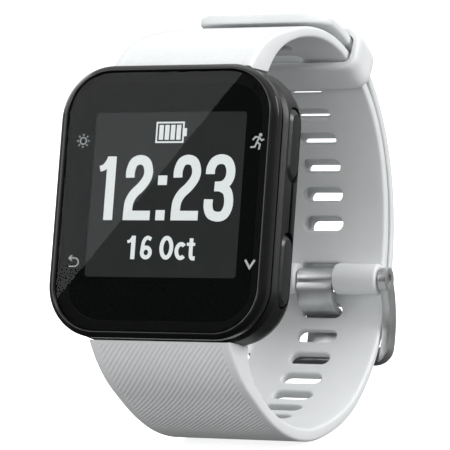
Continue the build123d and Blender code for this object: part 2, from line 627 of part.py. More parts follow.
# Middle line of the tongue as (y, z): round the frame's pin, out through its slot and
# down onto the frame's end bar.
TONGUE_LINE = [(45.5, -3.9), (46.2, -6.4), (47.9, -7.6), (49.8, -8.15), (51.2, -9.75),
               (51.3, -12.5), (50.95, -15.9)]

with BuildPart() as buckle_tongue:
    with BuildSketch(Plane.YZ.offset(-TONGUE_WIDTH / 2)):
        with BuildLine() as blade:
            Spline(*TONGUE_LINE)
        trace(blade.edges(), line_width=TONGUE_THICKNESS)
        with Locations((PIN_Y, PIN_Z)):
            Circle(TONGUE_BARREL)
    extrude(amount=TONGUE_WIDTH)
    rod(PIN_RADIUS + RUNNING, -4, 4, PIN_Y, PIN_Z, mode=Mode.SUBTRACT)
finish_part(buckle_tongue, "buckle_tongue")

with BuildPart() as strap_keeper:
    start = KEEPER_ANGLES[0]
    radial = Plane((0, WRAP_Y, WRAP_Z), x_dir=(1, 0, 0),
                   z_dir=(0, -sin(radians(start)), cos(radians(start))))
    with BuildSketch(radial) as band:
        with Locations((0, sum(KEEPER_RADII) / 2)):
            RectangleRounded(2 * KEEPER_HALF, KEEPER_RADII[1] - KEEPER_RADII[0], KEEPER_CORNER)
        with Locations((0, sum(KEEPER_OPENING) / 2)):
            RectangleRounded(2 * KEEPER_OPENING_HALF, KEEPER_OPENING[1] - KEEPER_OPENING[0],
                             KEEPER_OPENING_CORNER, mode=Mode.SUBTRACT)
    revolve(axis=Axis((0, WRAP_Y, WRAP_Z), (1, 0, 0)),
            revolution_arc=KEEPER_ANGLES[1] - KEEPER_ANGLES[0])
finish_part(strap_keeper, "strap_keeper")
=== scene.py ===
import json
from math import cos, hypot, pi, radians, sin

import bmesh
import bpy
import numpy as np
from mathutils import Matrix, Vector
from mathutils.geometry import delaunay_2d_cdt


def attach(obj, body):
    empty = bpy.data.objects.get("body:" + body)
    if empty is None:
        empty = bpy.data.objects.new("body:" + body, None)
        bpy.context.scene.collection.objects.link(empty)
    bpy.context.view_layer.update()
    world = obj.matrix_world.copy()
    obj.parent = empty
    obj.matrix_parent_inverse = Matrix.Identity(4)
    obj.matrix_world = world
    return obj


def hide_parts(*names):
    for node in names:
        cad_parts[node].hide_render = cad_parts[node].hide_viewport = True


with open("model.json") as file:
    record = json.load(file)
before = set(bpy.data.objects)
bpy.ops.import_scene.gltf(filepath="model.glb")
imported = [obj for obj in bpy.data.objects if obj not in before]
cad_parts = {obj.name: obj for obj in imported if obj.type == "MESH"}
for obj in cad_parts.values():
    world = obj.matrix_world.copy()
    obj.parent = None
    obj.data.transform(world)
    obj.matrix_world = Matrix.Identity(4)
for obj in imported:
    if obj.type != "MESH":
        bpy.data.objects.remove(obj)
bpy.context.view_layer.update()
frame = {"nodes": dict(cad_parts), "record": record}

MM = 0.001
LOOP_Y, LOOP_Z = 17.2, 0.4          # centre that the strap's angles and radii refer to
STRAP_END = 20.45                   # the straps end this far from the middle of the case
PLAN_HALF = 11.0                    # half width of the flat pattern before it is stretched
STRAIGHT_HALF = 4.0                 # the pattern keeps its width this far from the middle
HALF_WIDTH_CASE, HALF_WIDTH_BACK = 11.4, 10.7
TAPER_FROM, TAPER_TO = -12.0, 55.0
SIDE_ROUNDING = 0.45
SLOT_ROUNDING = 0.35
SLOT_LENGTH, SLOT_WIDTH = 6.8, 2.4
RING_STEPS = (0.0, 0.076, 0.293, 0.617, 1.0)    # where an edge rounding gets its rows
SLOT_ARC_STEPS = 14                 # points round each end of a slot
NOTCH_ARC_STEPS = 5
TAIL_ARC_STEPS = 12
TAIL_END_STEPS = 14
ANGLE_STEPS = 600                   # entries in the table that turns strap length into loop angle
ROOT_TURN = 22                      # loop angle over which the slant of the end face fades out
GRID = 0.9                          # spacing of mesh points where there are no ribs
GRID_MARGIN = 0.3                   # free space between those points and a rounded edge
GRID_RIB_GAP = 0.4                  # and between those points and the ribs
RIB_PITCH = 0.55
RIB_DEPTH = 0.15
RIB_TILT = radians(45)
RIB_BORDER = 1.2                    # smooth margin between the ribs and the strap's side
RIB_SIDE_FADE = 0.3
RIB_POINTS_ACROSS = 8               # rows of mesh points to one rib
RIB_POINT_STEP = 0.55               # spacing of mesh points along a rib
RIB_MARGIN = 0.15                   # free space between those points and a rounded edge
RIB_CASE_MARGIN = 0.08

# Strap layers as loop angle, inner radius and outer radius, and their roots at the case.
UPPER_LAYER = [(-6.6, 30.15, 32.1), (8, 30.4, 32.3), (18, 30.65, 32.5), (30, 30.9, 32.7),
               (45, 30.85, 32.6), (57, 30.45, 32.15), (66, 30.2, 31.8), (75, 29.95, 31.5),
               (84, 29.65, 31.2), (92, 29.4, 30.95), (100, 29.2, 30.85)]
UPPER_ROOT_INNER = [(110, 29.15), (120, 29.2), (128, 28.9), (134.6, 28.18)]
UPPER_ROOT_OUTER = [(108, 30.85), (114, 31.05), (120, 31.5), (126, 32.1), (133, 32.7),
                    (142.5, 32.91)]
LOWER_LAYER = [(-108, 30.15, 32.1), (-98, 30.05, 32.05), (-88, 30.05, 32.1), (-78, 30.25, 32.25),
               (-67, 30.5, 32.45), (-58, 31.05, 32.95), (-48, 31.8, 33.6), (-37, 32.3, 33.95),
               (-25, 32.7, 34.25), (-8, 33.1, 34.65), (5, 33.3, 34.8), (18, 33.4, 34.85),
               (30, 33.35, 34.8), (45, 33.1, 34.6), (57, 32.85, 34.35), (66, 32.7, 34.15),
               (75, 32.5, 33.95), (84, 32.3, 33.75), (91.5, 32.1, 33.6)]
LOWER_ROOT_INNER = [(-133.8, 28.89), (-131, 29.6), (-125, 30.2), (-116, 30.2)]
LOWER_ROOT_OUTER = [(-142.2, 34.03), (-136, 33.8), (-130, 33.4), (-125, 32.95), (-120, 32.5),
                    (-115, 32.25)]
UPPER_FREE_ANGLE = -6.6             # loop angles where the straps end away from the case
LOWER_FREE_ANGLE = 91.5
PIN_Y, PIN_Z = 46.6, -3.0
BARREL_RADIUS = 2.5
BARREL_ROUNDING = 0.4
BARREL_SIDES = 64
NOTCH_HALF = 3.3
NOTCH_ANGLE = -1.3
NOTCH_CORNER = 0.5
TAIL_CORNER = 4.0
UPPER_SLOTS = [10.8 + 8.67 * step for step in range(9)]
LOWER_SLOTS = [-14.5 + 7.9 * step for step in range(-6, 12)]

WRAP_Y, WRAP_Z = 19.4, 1.5          # centre of the circle that the keeper slides on
KEEPER_ANGLES = (61.7, 74.9)
KEEPER_HALF = 12.6
KEEPER_RADII = (26.5, 34.1)
KEEPER_OPENING = (28.1, 32.65)
KEEPER_OPENING_HALF = 11.25
KEEPER_CORNER = 2.4
KEEPER_OPENING_CORNER = 1.0
KEEPER_SQUARENESS = 0.45            # 1 gives a round band section, 0 a square one
KEEPER_WAIST = 0.22                 # how far the middle of the band is drawn in at its sides
KEEPER_RINGS = 112                  # mesh points round the loop
KEEPER_SIDES = 32                   # mesh points round the band's section

CASE_SECTIONS = [(1.6, 1.2), (3.0, 0.4), (4.6, 0.0), (8.2, 0.1)]    # height, inset of the wall
CASE_CORNER = 8.2
CASE_HALF_WIDTH = 17.75


# ---- materials -------------------------------------------------------------------------
CLOUDS_PER_METRE = 180              # slow changes of tone
SMUDGES_PER_METRE = 420             # changes of gloss
DISPLAY_PIXEL = 0.18
NO_MIRROR = {"Specular IOR Level": 0.0}
STEEL = {"Anisotropic": 0.5}
SOFT_SKIN = {"Subsurface Weight": 0.12, "Subsurface Scale": 0.0012, "Subsurface Radius": (1, 1, 1)}


class Nodes:
    """Small helper to wire shader nodes."""

    def __init__(self, material):
        material.use_nodes = True
        self.tree = material.node_tree
        self.shader = self.tree.nodes["Principled BSDF"]
        self.coords = self.add("ShaderNodeTexCoord").outputs["Object"]

    def add(self, kind, **settings):
        node = self.tree.nodes.new(kind)
        for name, value in settings.items():
            setattr(node, name, value)
        return node

    def link(self, output, target):
        self.tree.links.new(output, target)

    def noise(self, scale, detail=4.0, stretch=(1, 1, 1)):
        """Noise over the object; scale counts features per metre."""
        mapping = self.add("ShaderNodeMapping")
        mapping.inputs["Scale"].default_value = stretch
        self.link(self.coords, mapping.inputs["Vector"])
        node = self.add("ShaderNodeTexNoise")
        node.inputs["Scale"].default_value = scale
        node.inputs["Detail"].default_value = detail
        self.link(mapping.outputs["Vector"], node.inputs["Vector"])
        return node.outputs["Fac"]

    def spread(self, value, low, high):
        """Map a noise value onto a range."""
        node = self.add("ShaderNodeMapRange")
        node.inputs["From Min"].default_value = 0.3
        node.inputs["From Max"].default_value = 0.7
        node.inputs["To Min"].default_value = low
        node.inputs["To Max"].default_value = high
        self.link(value, node.inputs["Value"])
        return node.outputs["Result"]

    def tint(self, value, color, change):
        """Vary a colour by a fraction up and down."""
        node = self.add("ShaderNodeMix", data_type="RGBA")
        node.inputs["A"].default_value = (*[c * (1 - change) for c in color], 1)
        node.inputs["B"].default_value = (*[min(c * (1 + change), 1) for c in color], 1)
        self.link(self.spread(value, 0, 1), node.inputs["Factor"])
        return node.outputs["Result"]

    def bump(self, value, strength, distance, below=None):
        node = self.add("ShaderNodeBump")
        node.inputs["Strength"].default_value = strength
        node.inputs["Distance"].default_value = distance * MM
        self.link(value, node.inputs["Height"])
        if below is not None:
            self.link(below, node.inputs["Normal"])
        return node.outputs["Normal"]


def surface(name, color, roughness, metallic=0.0, grain=9000, relief=0.02, change=0.08,
            stretch=(1, 1, 1), extra=None):
    """Procedural finish: cloudy tone, fine grain, uneven gloss and two scales of relief."""
    material = bpy.data.materials.new(name)
    nodes = Nodes(material)
    shader = nodes.shader
    cloud = nodes.noise(CLOUDS_PER_METRE, 3)
    fine = nodes.noise(grain, 2, stretch)
    smudge = nodes.noise(SMUDGES_PER_METRE, 5)
    nodes.link(nodes.tint(cloud, color, change), shader.inputs["Base Color"])
    gloss = nodes.spread(smudge, roughness * 0.88, min(roughness * 1.14, 1))
    nodes.link(gloss, shader.inputs["Roughness"])
    shader.inputs["Metallic"].default_value = metallic
    coarse = nodes.bump(cloud, 0.15, relief * 2)
    nodes.link(nodes.bump(fine, 0.35, relief, coarse), shader.inputs["Normal"])
    for socket, value in (extra or {}).items():
        shader.inputs[socket].default_value = value
    return material


def glow(name, color, strength):
    """Printed marks and display digits drawn with a painted glow that keeps their tone under any light,
    with slightly uneven ink.
    """
    material = bpy.data.materials.new(name)
    nodes = Nodes(material)
    glowing_ink = nodes.tint(nodes.noise(2500, 3), color, 0.03)
    nodes.shader.inputs["Base Color"].default_value = (0.02, 0.02, 0.02, 1)
    nodes.shader.inputs["Specular IOR Level"].default_value = 0.1
    # Painted glow: the ink colour is emitted, so the marks shine though they are no lamp.
    nodes.link(glowing_ink, nodes.shader.inputs["Emission Color"])
    nodes.link(nodes.spread(nodes.noise(900, 2), 0.4, 0.5), nodes.shader.inputs["Roughness"])
    nodes.shader.inputs["Emission Strength"].default_value = strength
    return material


def lens_material():
    """Thin clear glass: see-through with a mirror layer, faint smears and a dark tint."""
    material = bpy.data.materials.new("lens_glass")
    nodes = Nodes(material)
    clear = nodes.add("ShaderNodeBsdfTransparent")
    clear.inputs["Color"].default_value = (0.93, 0.95, 0.95, 1)
    mirror = nodes.add("ShaderNodeBsdfGlossy")
    mirror.inputs["Color"].default_value = (0.3, 0.305, 0.31, 1)
    nodes.link(nodes.spread(nodes.noise(300, 4), 0.003, 0.01), mirror.inputs["Roughness"])
    fresnel = nodes.add("ShaderNodeFresnel")
    fresnel.inputs["IOR"].default_value = 1.5
    geometry = nodes.add("ShaderNodeNewGeometry")
    outward_only = nodes.add("ShaderNodeMath", operation="SUBTRACT", use_clamp=True)
    nodes.link(fresnel.outputs["Fac"], outward_only.inputs[0])
    nodes.link(geometry.outputs["Backfacing"], outward_only.inputs[1])
    mix = nodes.add("ShaderNodeMixShader")
    nodes.link(outward_only.outputs[0], mix.inputs["Fac"])
    nodes.link(clear.outputs["BSDF"], mix.inputs[1])
    nodes.link(mirror.outputs["BSDF"], mix.inputs[2])
    output = nodes.tree.nodes["Material Output"]
    nodes.link(mix.outputs["Shader"], output.inputs["Surface"])
    return material


def display_material():
    """Dark reflective display with a faint pixel grid and a faint painted glow of its own dark tone."""
    material = bpy.data.materials.new("lcd_glass")
    nodes = Nodes(material)
    split = nodes.add("ShaderNodeSeparateXYZ")
    nodes.link(nodes.coords, split.inputs["Vector"])
    waves = []
    for axis in ("X", "Z"):
        turn = nodes.add("ShaderNodeMath", operation="MULTIPLY")
        turn.inputs[1].default_value = 2 * pi / (DISPLAY_PIXEL * MM)
        nodes.link(split.outputs[axis], turn.inputs[0])
        wave = nodes.add("ShaderNodeMath", operation="COSINE")
        nodes.link(turn.outputs[0], wave.inputs[0])
        waves.append(wave.outputs[0])
    grid = nodes.add("ShaderNodeMath", operation="MAXIMUM")
    nodes.link(waves[0], grid.inputs[0])
    nodes.link(waves[1], grid.inputs[1])
    tone = nodes.tint(nodes.noise(260, 3), (0.02, 0.0205, 0.0205), 0.06)
    nodes.link(tone, nodes.shader.inputs["Base Color"])
    # Painted glow: the dark tone is also emitted, lifting the display though it is no lamp.
    nodes.link(tone, nodes.shader.inputs["Emission Color"])
    nodes.shader.inputs["Emission Strength"].default_value = 0.5
    nodes.shader.inputs["Specular IOR Level"].default_value = 0.0
    level = nodes.spread(grid.outputs[0], 0.42, 0.5)
    nodes.link(level, nodes.shader.inputs["Roughness"])
    return material


FINISHES = {
    "case_polymer": surface("case_polymer", (0.0035, 0.004, 0.004), 0.42, grain=14000, relief=0.012),
    "bezel_gloss": surface("bezel_gloss", (0.003, 0.0034, 0.0034), 0.2, grain=9000, relief=0.004),
    "lens_glass": lens_material(),
    "mask_film": surface("mask_film", (0.0015, 0.002, 0.002), 0.6, relief=0.004, extra=NO_MIRROR),
    "seal_rubber": surface("seal_rubber", (0.004, 0.004, 0.004), 0.8,
                           extra={"Specular IOR Level": 0.05}),
    "lcd_glass": display_material(),
    "light_guide": surface("light_guide", (0.8, 0.82, 0.83), 0.4),
    "inner_polymer": surface("inner_polymer", (0.05, 0.05, 0.05), 0.55),
    "flex_film": surface("flex_film", (0.5, 0.25, 0.05), 0.4),
    "circuit_board": surface("circuit_board", (0.02, 0.13, 0.07), 0.45, grain=5000),
    "chip_black": surface("chip_black", (0.03, 0.03, 0.033), 0.6, grain=16000),
    "shield_metal": surface("shield_metal", (0.62, 0.62, 0.6), 0.35, 1.0),
    "battery_foil": surface("battery_foil", (0.55, 0.57, 0.58), 0.4, 0.9, grain=3000, relief=0.04),
    "foam_pad": surface("foam_pad", (0.06, 0.06, 0.06), 0.9, grain=5000, relief=0.06),
    "wire_red": surface("wire_red", (0.5, 0.03, 0.02), 0.45),
    "sounder_brass": surface("sounder_brass", (0.7, 0.52, 0.22), 0.3, 1.0, stretch=(1, 1, 12)),
    "antenna_ceramic": surface("antenna_ceramic", (0.75, 0.72, 0.64), 0.6),
    "screw_steel": surface("screw_steel", (0.55, 0.55, 0.55), 0.3, 1.0, stretch=(12, 1, 1), extra=STEEL),
    "sensor_glass": surface("sensor_glass", (0.01, 0.01, 0.013), 0.12, relief=0.003),
    "led_green": surface("led_green", (0.35, 0.75, 0.4), 0.3),
    "contact_gold": surface("contact_gold", (0.8, 0.6, 0.22), 0.28, 1.0),
    "key_polymer": surface("key_polymer", (0.012, 0.0135, 0.0135), 0.34, grain=14000, relief=0.01),
    "strap_silicone": surface("strap_silicone", (0.74, 0.755, 0.762), 0.5, grain=16000, relief=0.008,
                              change=0.015, extra=SOFT_SKIN),
    "buckle_steel": surface("buckle_steel", (0.62, 0.63, 0.635), 0.4, 1.0, grain=5000, relief=0.01,
                            stretch=(1, 1, 14), extra=STEEL),
}
# Painted glow for the display digits (white) and the printed key signs (grey).
GLOWING_MARK_WHITE = glow("glowing_mark_white", (0.86, 0.87, 0.87), 1.0)
GLOWING_MARK_GREY = glow("glowing_mark_grey", (0.42, 0.44, 0.44), 1.0)

slot_of = {entry["node"]: entry["material_slot"] for entry in frame["record"]["subparts"]}
for node_name, node in frame["nodes"].items():
    node.data.materials.clear()
    node.data.materials.append(FINISHES[slot_of[node_name]])


# ---- building meshes -------------------------------------------------------------------
def add_mesh(name, vertices, faces, material, body, smooth=40):
    """New object from vertices in millimetres, smooth up to an edge angle, riding a body."""
    mesh = bpy.data.meshes.new(name)
    mesh.from_pydata([Vector(vertex) * MM for vertex in vertices], [], faces)
    mesh.validate()
    mesh.materials.append(material)
    mesh.shade_smooth()
    mesh.set_sharp_from_angle(angle=radians(smooth))
    piece = bpy.data.objects.new(name, mesh)
    bpy.context.scene.collection.objects.link(piece)
    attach(piece, body)
    return piece


def polar(radius, angle):
    """(y, z) on the strap loop; angle 0 is opposite the case and 90 is the top."""
    return (LOOP_Y + radius * cos(radians(angle)), LOOP_Z + radius * sin(radians(angle)))


class Face:
    """Radius of one strap face as a smooth function of the loop angle."""

    def __init__(self, points):
        points = sorted(points)
        self.angles = np.array([angle for angle, _ in points], dtype=float)
        self.radii = np.array([radius for _, radius in points], dtype=float)
        self.slopes = np.gradient(self.radii, self.angles)

    def radius(self, angle):
        angle = min(max(angle, self.angles[0]), self.angles[-1])
        i = min(int(np.searchsorted(self.angles, angle, side="right")) - 1, len(self.angles) - 2)
        span = self.angles[i + 1] - self.angles[i]
        u = (angle - self.angles[i]) / span
        return ((2 * u**3 - 3 * u**2 + 1) * self.radii[i] + (u**3 - 2 * u**2 + u) * span * self.slopes[i]
                + (3 * u**2 - 2 * u**3) * self.radii[i + 1] + (u**3 - u**2) * span * self.slopes[i + 1])


def arc_points(middle, radius, start, end, count):
    """Points on a circle in the flat pattern, angles in degrees from the t axis to x."""
    turns = [radians(start + (end - start) * k / count) for k in range(count + 1)]
    return [(middle[0] + radius * cos(turn), middle[1] + radius * sin(turn)) for turn in turns]


def case_gap(x, height):
    """How far the case wall lies behind the strap's end plane, so that the strap meets it."""
    heights = [entry[0] for entry in CASE_SECTIONS]
    inset = float(np.interp(height, heights, [entry[1] for entry in CASE_SECTIONS]))
    round_x = max(abs(x) - (CASE_HALF_WIDTH - CASE_CORNER), 0)
    return inset + CASE_CORNER - (CASE_CORNER**2 - round_x**2) ** 0.5


class Strap:
    """One strap as a flat pattern (t along the strap, x across) wrapped round the loop."""

    def __init__(self, layer, root_inner, root_outer, side, free_end, slots):
        self.inner = Face([(angle, inner) for angle, inner, _ in layer] + root_inner)
        self.outer = Face([(angle, outer) for angle, _, outer in layer] + root_outer)
        self.side = side
        ends = [max(face.angles) if side > 0 else min(face.angles) for face in (self.inner, self.outer)]
        self.case_angle = sum(ends) / 2
        self.skew = (ends[1] - ends[0]) / 2
        low, high = sorted((self.case_angle, free_end))
        self.table_angles = np.linspace(low, high, ANGLE_STEPS)
        middle = [(self.inner.radius(a) + self.outer.radius(a)) / 2 for a in self.table_angles]
        steps = np.radians(np.diff(self.table_angles)) * (np.array(middle[1:]) + middle[:-1]) / 2
        self.table_t = np.concatenate([[0], np.cumsum(steps)])
        self.t_case = self.t_of(self.case_angle)
        self.t_free = self.t_of(free_end)
        self.slots = [self.t_of(angle) for angle in slots]

    def t_of(self, angle):
        return float(np.interp(angle, self.table_angles, self.table_t))

    def angle_of(self, t):
        return float(np.interp(t, self.table_t, self.table_angles))

    def slot_distance(self, t, x):
        """Distance outside the nearest slot."""
        reach = (SLOT_LENGTH - SLOT_WIDTH) / 2
        return min(hypot(t - slot, max(abs(x) - reach, 0)) for slot in self.slots) - SLOT_WIDTH / 2

    def slot_ring(self, t, grow):
        reach = (SLOT_LENGTH - SLOT_WIDTH) / 2
        radius = SLOT_WIDTH / 2 + grow
        right = arc_points((t, reach), radius, 0, 180, SLOT_ARC_STEPS)
        left = arc_points((t, -reach), radius, 180, 360, SLOT_ARC_STEPS)
        return right + left

    def drop(self, t, x):
        """How far a rounded edge falls below the flat face."""
        fall = 0
        for distance, rounding in ((self.edge_distance(t, x), SIDE_ROUNDING),
                                   (self.slot_distance(t, x), SLOT_ROUNDING)):
            if distance < rounding:
                lean = rounding - max(distance, 0)
                fall = max(fall, rounding - (rounding**2 - lean**2) ** 0.5)
        return fall

    def rib(self, t, x):
        """Depth of the fine slanted ribs on the outer face near the case."""
        from_case = abs(t - self.t_case)
        fade_x = min(max((PLAN_HALF - RIB_BORDER - abs(x)) / RIB_SIDE_FADE, 0), 1)
        fade_t = min(max((self.rib_length - from_case) / self.rib_fade, 0), 1)
        across = x * sin(RIB_TILT) + t * cos(RIB_TILT)
        wave = 1 - abs(cos(pi * across / RIB_PITCH))
        return RIB_DEPTH * wave * fade_x * fade_t

    def place(self, t, x, outer):
        """Put a point of the pattern on the outer or inner face."""
        angle = self.angle_of(t)
        ramp = min(max(1 - abs(angle - self.case_angle) / ROOT_TURN, 0), 1)
        shift = self.skew * ramp * ramp * (3 - 2 * ramp)
        fall = self.drop(t, x)
        if outer:
            angle += shift
            radius = self.outer.radius(angle) - fall - self.rib(t, x)
        else:
            angle -= shift
            radius = self.inner.radius(angle) + fall
        y, z = polar(radius, angle)
        if abs(t - self.t_case) < 1e-6:
            z = self.side * (STRAP_END - case_gap(x, -y))
        share = (y - TAPER_FROM) / (TAPER_TO - TAPER_FROM)
        half = HALF_WIDTH_CASE + (HALF_WIDTH_BACK - HALF_WIDTH_CASE) * share
        beyond = max(abs(x) - STRAIGHT_HALF, 0)
        stretch = (half - STRAIGHT_HALF) / (PLAN_HALF - STRAIGHT_HALF)
        stretched = min(abs(x), STRAIGHT_HALF) + beyond * stretch
        return (stretched if x > 0 else -stretched, y, z)

    def inside(self, t, x, margin):
        return (self.edge_distance(t, x) > margin and self.slot_distance(t, x) > margin
                and self.case_distance(t) > margin * 0.5)

    def case_distance(self, t):
        return (self.t_case - t) * self.side

    def build(self):
        """Triangulate the pattern, wrap both faces and join them with walls."""
        points = []
        edges = []

        def chain(ring, closed):
            first = len(points)
            points.extend(ring)
            edges.extend((first + k, first + k + 1) for k in range(len(ring) - 1))
            if closed:
                edges.append((first + len(ring) - 1, first))

        chain(self.outline(0), True)
        for step in RING_STEPS[1:]:
            chain(self.outline(step * SIDE_ROUNDING), False)
        for slot in self.slots:
            for step in RING_STEPS:
                chain(self.slot_ring(slot, step * SLOT_ROUNDING), True)
        low, high = sorted((self.t_case, self.t_free))
        rows = int((high - low) / GRID)
        columns = int(2 * PLAN_HALF / GRID)
        for row in range(1, rows):
            t = low + (high - low) * row / rows
            if self.case_distance(t) < self.rib_length + GRID_RIB_GAP:
                continue
            for column in range(1, columns):
                x = -PLAN_HALF + 2 * PLAN_HALF * column / columns
                if self.inside(t, x, SIDE_ROUNDING + GRID_MARGIN):
                    points.append((t, x))
        self.add_rib_points(points)
        flat = [Vector(point) for point in points]
        vertices, _, triangles, _, _, _ = delaunay_2d_cdt(flat, edges, [], 1, 1e-4, False)
        kept = []
        for triangle in triangles:
            t = sum(vertices[k][0] for k in triangle) / 3
            x = sum(vertices[k][1] for k in triangle) / 3
            if self.edge_distance(t, x) > 0 and self.slot_distance(t, x) > 0:
                kept.append(tuple(triangle))
        return self.close_solid(vertices, kept)

    def add_rib_points(self, points):
        """Rows of points that run along the ribs."""
        across_step = RIB_PITCH / RIB_POINTS_ACROSS
        reach = PLAN_HALF + self.rib_length
        middle = self.t_case - self.side * self.rib_length / 2
        origin = middle * cos(RIB_TILT)
        first = int((origin - reach) / across_step)
        last = int((origin + reach) / across_step)
        for row in range(first, last):
            across = row * across_step
            for column in range(int(-reach / RIB_POINT_STEP), int(reach / RIB_POINT_STEP)):
                along = column * RIB_POINT_STEP + (row % 2) * RIB_POINT_STEP / 2
                x = across * sin(RIB_TILT) + (along - middle * sin(RIB_TILT)) * cos(RIB_TILT)
                t = across * cos(RIB_TILT) - (along - middle * sin(RIB_TILT)) * sin(RIB_TILT)
                near_case = RIB_CASE_MARGIN < self.case_distance(t) < self.rib_length
                if near_case and self.edge_distance(t, x) > SIDE_ROUNDING + RIB_MARGIN:
                    if self.slot_distance(t, x) > SLOT_ROUNDING + RIB_MARGIN:
                        points.append((t, x))

    def close_solid(self, pattern, triangles):
        """Outer and inner face from the same triangles, with walls along their open border."""
        used = sorted({k for triangle in triangles for k in triangle})
        renumber = {old: new for new, old in enumerate(used)}
        count = len(used)
        vertices = [self.place(pattern[k][0], pattern[k][1], True) for k in used]
        vertices += [self.place(pattern[k][0], pattern[k][1], False) for k in used]
        faces = []
        border = {}
        for triangle in triangles:
            a, b, c = (renumber[k] for k in triangle)
            faces.append((a, b, c))
            faces.append((c + count, b + count, a + count))
            for edge in ((a, b), (b, c), (c, a)):
                if (edge[1], edge[0]) in border:
                    del border[(edge[1], edge[0])]
                else:
                    border[edge] = True
        for a, b in border:
            faces.append((b, a, a + count, b + count))
        return vertices, faces


class UpperStrap(Strap):
    """Buckle strap: ends in a notch for the tongue between two barrel halves."""

    rib_length = 19.0
    rib_fade = 8.0
    side_steps = 80

    def edge_distance(self, t, x):
        sides = PLAN_HALF - abs(x)
        notch_t = self.t_of(NOTCH_ANGLE) - NOTCH_CORNER
        notch = hypot(max(abs(x) - NOTCH_HALF + NOTCH_CORNER, 0), max(t - notch_t, 0)) - NOTCH_CORNER
        return min(sides, notch)

    def outline(self, inset):
        side_x = PLAN_HALF - inset
        notch_t = self.t_of(NOTCH_ANGLE) - NOTCH_CORNER
        corner_x = NOTCH_HALF - NOTCH_CORNER
        radius = NOTCH_CORNER + inset
        left = [(self.t_case + (self.t_free - self.t_case) * k / self.side_steps, -side_x)
                for k in range(self.side_steps + 1)]
        right = [(t, -x) for t, x in reversed(left)]
        notch = [(self.t_free, -corner_x - radius)]
        notch += arc_points((notch_t, -corner_x), radius, -90, 0, NOTCH_ARC_STEPS)
        notch += arc_points((notch_t, corner_x), radius, 0, 90, NOTCH_ARC_STEPS)
        notch.append((self.t_free, corner_x + radius))
        return left + notch + right


class LowerStrap(Strap):
    """Hole strap: its tail has rounded corners."""

    rib_length = 22.0
    rib_fade = 3.0
    side_steps = 140

    def edge_distance(self, t, x):
        corner_x = abs(x) - (PLAN_HALF - TAIL_CORNER)
        corner_t = t - (self.t_free - TAIL_CORNER)
        outside = hypot(max(corner_x, 0), max(corner_t, 0)) + min(max(corner_x, corner_t), 0)
        return TAIL_CORNER - outside

    def outline(self, inset):
        side_x = PLAN_HALF - inset
        middle_t = self.t_free - TAIL_CORNER
        middle_x = PLAN_HALF - TAIL_CORNER
        radius = TAIL_CORNER - inset
        left = [(self.t_case + (middle_t - self.t_case) * k / self.side_steps, -side_x)
                for k in range(self.side_steps)]
        right = [(t, -x) for t, x in reversed(left)]
        tip = arc_points((middle_t, -middle_x), radius, -90, 0, TAIL_ARC_STEPS)
        tip += [(self.t_free - inset, -middle_x + 2 * middle_x * k / TAIL_END_STEPS)
                for k in range(1, TAIL_END_STEPS)]
        tip += arc_points((middle_t, middle_x), radius, 0, 90, TAIL_ARC_STEPS)
        return left + tip + right


def round_barrel(low, high):
    """Half of the barrel that holds the buckle pin: a closed round-edged cylinder along X."""
    radius = BARREL_RADIUS
    rounding = BARREL_ROUNDING
    segments = BARREL_SIDES
    rows = [(low, 0)]
    rows += [(low + rounding * (1 - cos(turn)), radius - rounding * (1 - sin(turn)))
             for turn in (radians(15 * k) for k in range(7))]
    rows += [(low + high - x, r) for x, r in reversed(rows)]
    vertices = []
    faces = []
    for x, r in rows[1:-1]:
        vertices += [(x, PIN_Y + r * cos(2 * pi * k / segments), PIN_Z + r * sin(2 * pi * k / segments))
                     for k in range(segments)]
    for row in range(len(rows) - 3):
        for k in range(segments):
            a = row * segments + k
            b = row * segments + (k + 1) % segments
            faces.append((a, b, b + segments, a + segments))
    last = (len(rows) - 3) * segments
    faces.append(tuple(range(segments - 1, -1, -1)))
    faces.append(tuple(range(last, last + segments)))
    return vertices, faces


def joined(*solids):
    """Vertices and faces of several solids as one list of each."""
    vertices = []
    faces = []
    for points, polygons in solids:
        first = len(vertices)
        vertices += points
        faces += [tuple(first + k for k in polygon) for polygon in polygons]
    return vertices, faces


upper = UpperStrap(UPPER_LAYER, UPPER_ROOT_INNER, UPPER_ROOT_OUTER, 1, UPPER_FREE_ANGLE, UPPER_SLOTS)
lower = LowerStrap(LOWER_LAYER, LOWER_ROOT_INNER, LOWER_ROOT_OUTER, -1, LOWER_FREE_ANGLE, LOWER_SLOTS)
barrel_half = upper.place(upper.t_free, PLAN_HALF, True)[0]
barrels = [round_barrel(*ends) for ends in ((-barrel_half, -NOTCH_HALF), (NOTCH_HALF, barrel_half))]
silicone = FINISHES["strap_silicone"]
strap_upper = add_mesh("strap_upper_skin", *joined(upper.build(), *barrels), silicone, "case")
strap_lower = add_mesh("strap_lower_skin", *lower.build(), silicone, "case")
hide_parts("strap_upper")
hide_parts("strap_lower")


def sign_of(value):
    return 1 if value > 0 else -1


